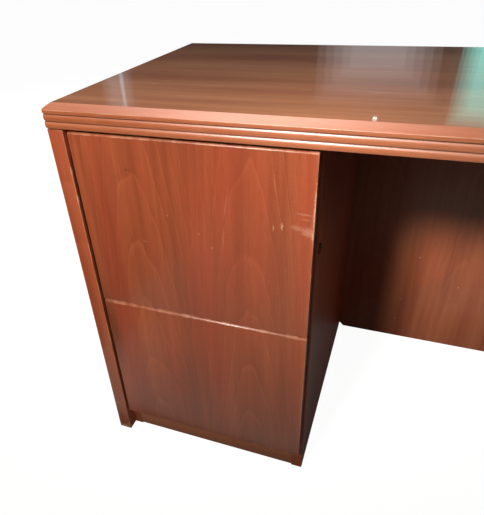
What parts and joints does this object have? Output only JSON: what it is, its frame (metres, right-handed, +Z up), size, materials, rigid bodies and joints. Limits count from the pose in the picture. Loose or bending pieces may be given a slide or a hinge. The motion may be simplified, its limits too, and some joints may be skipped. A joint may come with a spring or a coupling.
{
  "type": "l-shaped desk",
  "caption": "L-shaped desk with a return at its left, reeded and bevelled top edges, panel ends, modesty panels and a locking drawer pedestal under each run.",
  "frame": {"origin": "on the floor, under the middle of the whole desk's box", "axes": "+X along the return from its free end towards the desk run, +Y towards the back of the return, +Z up; the return's drawers open towards -Y and the desk's towards -X"},
  "size_m": [1.9812, 1.8288, 0.7493],
  "materials": {
    "cherry_top_veneer": "satin lacquer",
    "solid_cherry_moulding": "satin lacquer",
    "cherry_front_veneer": "satin lacquer",
    "cherry_panel_veneer": "satin lacquer",
    "case_board": "matt laminate",
    "maple_drawer_ply": "clear lacquer",
    "zinc_plated_steel": "zinc plated",
    "lock_bronze": "dark bronze plated",
    "lock_plug_bronze": "worn dark bronze",
    "black_spacer": "matt black",
    "glide_nylon": "moulded"
  },
  "bodies": {
    "root": {"desk_case_back": "cherry_panel_veneer", "desk_case_base_rail": "cherry_panel_veneer", "desk_case_bottom": "case_board", "desk_case_inner_side": "cherry_panel_veneer", "desk_case_outer_side": "case_board", "desk_case_rails": "case_board", "desk_far_end_panel": "cherry_panel_veneer", "desk_lock_housing": "lock_bronze", "desk_modesty_panel": "cherry_panel_veneer", "desk_near_end_panel": "cherry_panel_veneer", "desk_top_edge_back": "solid_cherry_moulding", "desk_top_edge_ends": "solid_cherry_moulding", "desk_top_edge_front": "solid_cherry_moulding", "desk_top_panel": "cherry_top_veneer", "fixing_screws": "zinc_plated_steel", "floor_glides": "glide_nylon", "joining_plates": "zinc_plated_steel", "lock_bar_keepers": "zinc_plated_steel", "return_case_back": "cherry_panel_veneer", "return_case_base_rail": "cherry_panel_veneer", "return_case_bottom": "case_board", "return_case_inner_side": "cherry_panel_veneer", "return_case_outer_side": "case_board", "return_case_rails": "case_board", "return_end_panel": "cherry_panel_veneer", "return_lock_housing": "lock_bronze", "return_modesty_panel": "cherry_panel_veneer", "return_top_edge_back": "solid_cherry_moulding", "return_top_edge_front": "solid_cherry_moulding", "return_top_edge_near_end": "solid_cherry_moulding", "return_top_panel": "cherry_top_veneer", "slide_outer_members": "zinc_plated_steel", "top_spacer_strips": "black_spacer"},
    "return_lower_drawer": {"return_lower_drawer_front": "cherry_front_veneer", "return_lower_drawer_box": "maple_drawer_ply", "return_lower_drawer_slide_inner": "zinc_plated_steel", "return_lower_drawer_file_rails": "zinc_plated_steel"},
    "return_lower_drawer_slides": {"return_lower_drawer_slide_middle": "zinc_plated_steel"},
    "return_upper_drawer": {"return_upper_drawer_front": "cherry_front_veneer", "return_upper_drawer_box": "maple_drawer_ply", "return_upper_drawer_slide_inner": "zinc_plated_steel", "return_upper_drawer_file_rails": "zinc_plated_steel"},
    "return_upper_drawer_slides": {"return_upper_drawer_slide_middle": "zinc_plated_steel"},
    "return_lock_plug": {"return_lock_plug": "lock_plug_bronze"},
    "return_lock_bar": {"return_lock_bar": "zinc_plated_steel"},
    "desk_file_drawer": {"desk_file_drawer_front": "cherry_front_veneer", "desk_file_drawer_box": "maple_drawer_ply", "desk_file_drawer_slide_inner": "zinc_plated_steel", "desk_file_drawer_file_rails": "zinc_plated_steel"},
    "desk_file_drawer_slides": {"desk_file_drawer_slide_middle": "zinc_plated_steel"},
    "desk_middle_drawer": {"desk_middle_drawer_front": "cherry_front_veneer", "desk_middle_drawer_box": "maple_drawer_ply", "desk_middle_drawer_slide_inner": "zinc_plated_steel"},
    "desk_middle_drawer_slides": {"desk_middle_drawer_slide_middle": "zinc_plated_steel"},
    "desk_upper_drawer": {"desk_upper_drawer_front": "cherry_front_veneer", "desk_upper_drawer_box": "maple_drawer_ply", "desk_upper_drawer_slide_inner": "zinc_plated_steel"},
    "desk_upper_drawer_slides": {"desk_upper_drawer_slide_middle": "zinc_plated_steel"},
    "desk_lock_plug": {"desk_lock_plug": "lock_plug_bronze"},
    "desk_lock_bar": {"desk_lock_bar": "zinc_plated_steel"}
  },
  "joints": [
    {"name": "return_lower_drawer_pull", "type": "slide", "parent": "root", "child": "return_lower_drawer", "axis": [0, -1, 0], "range_m": [0, 0.44]},
    {"name": "return_lower_drawer_slides_run", "type": "slide", "parent": "root", "child": "return_lower_drawer_slides", "axis": [0, -1, 0], "range_m": [0, 0.22]},
    {"name": "return_upper_drawer_pull", "type": "slide", "parent": "root", "child": "return_upper_drawer", "axis": [0, -1, 0], "range_m": [0, 0.44]},
    {"name": "return_upper_drawer_slides_run", "type": "slide", "parent": "root", "child": "return_upper_drawer_slides", "axis": [0, -1, 0], "range_m": [0, 0.22]},
    {"name": "return_lock_bar_lift", "type": "slide", "parent": "root", "child": "return_lock_bar", "axis": [0, 0, 1], "range_m": [0, 0.0099]},
    {"name": "return_lock_turn", "type": "hinge", "parent": "root", "child": "return_lock_plug", "pos_m": [-0.5578, 0.3832, 0.544], "axis": [1, 0, 0], "range_deg": [0, 90]},
    {"name": "desk_file_drawer_pull", "type": "slide", "parent": "root", "child": "desk_file_drawer", "axis": [-1, 0, 0], "range_m": [0, 0.54]},
    {"name": "desk_file_drawer_slides_run", "type": "slide", "parent": "root", "child": "desk_file_drawer_slides", "axis": [-1, 0, 0], "range_m": [0, 0.27]},
    {"name": "desk_middle_drawer_pull", "type": "slide", "parent": "root", "child": "desk_middle_drawer", "axis": [-1, 0, 0], "range_m": [0, 0.54]},
    {"name": "desk_middle_drawer_slides_run", "type": "slide", "parent": "root", "child": "desk_middle_drawer_slides", "axis": [-1, 0, 0], "range_m": [0, 0.27]},
    {"name": "desk_upper_drawer_pull", "type": "slide", "parent": "root", "child": "desk_upper_drawer", "axis": [-1, 0, 0], "range_m": [0, 0.54]},
    {"name": "desk_upper_drawer_slides_run", "type": "slide", "parent": "root", "child": "desk_upper_drawer_slides", "axis": [-1, 0, 0], "range_m": [0, 0.27]},
    {"name": "desk_lock_bar_lift", "type": "slide", "parent": "root", "child": "desk_lock_bar", "axis": [0, 0, 1], "range_m": [0, 0.0099]},
    {"name": "desk_lock_turn", "type": "hinge", "parent": "root", "child": "desk_lock_plug", "pos_m": [0.2689, -0.4816, 0.544], "axis": [0, -1, 0], "range_deg": [0, 90]}
  ],
  "couplings": [
    {"joint": "return_lower_drawer_slides_run", "follows": "return_lower_drawer_pull", "ratio": 0.5},
    {"joint": "return_upper_drawer_slides_run", "follows": "return_upper_drawer_pull", "ratio": 0.5},
    {"joint": "return_lock_turn", "follows": "return_lock_bar_lift", "rad_per_m": 158.68},
    {"joint": "desk_file_drawer_slides_run", "follows": "desk_file_drawer_pull", "ratio": 0.5},
    {"joint": "desk_middle_drawer_slides_run", "follows": "desk_middle_drawer_pull", "ratio": 0.5},
    {"joint": "desk_upper_drawer_slides_run", "follows": "desk_upper_drawer_pull", "ratio": 0.5},
    {"joint": "desk_lock_turn", "follows": "desk_lock_bar_lift", "rad_per_m": 158.68}
  ]
}
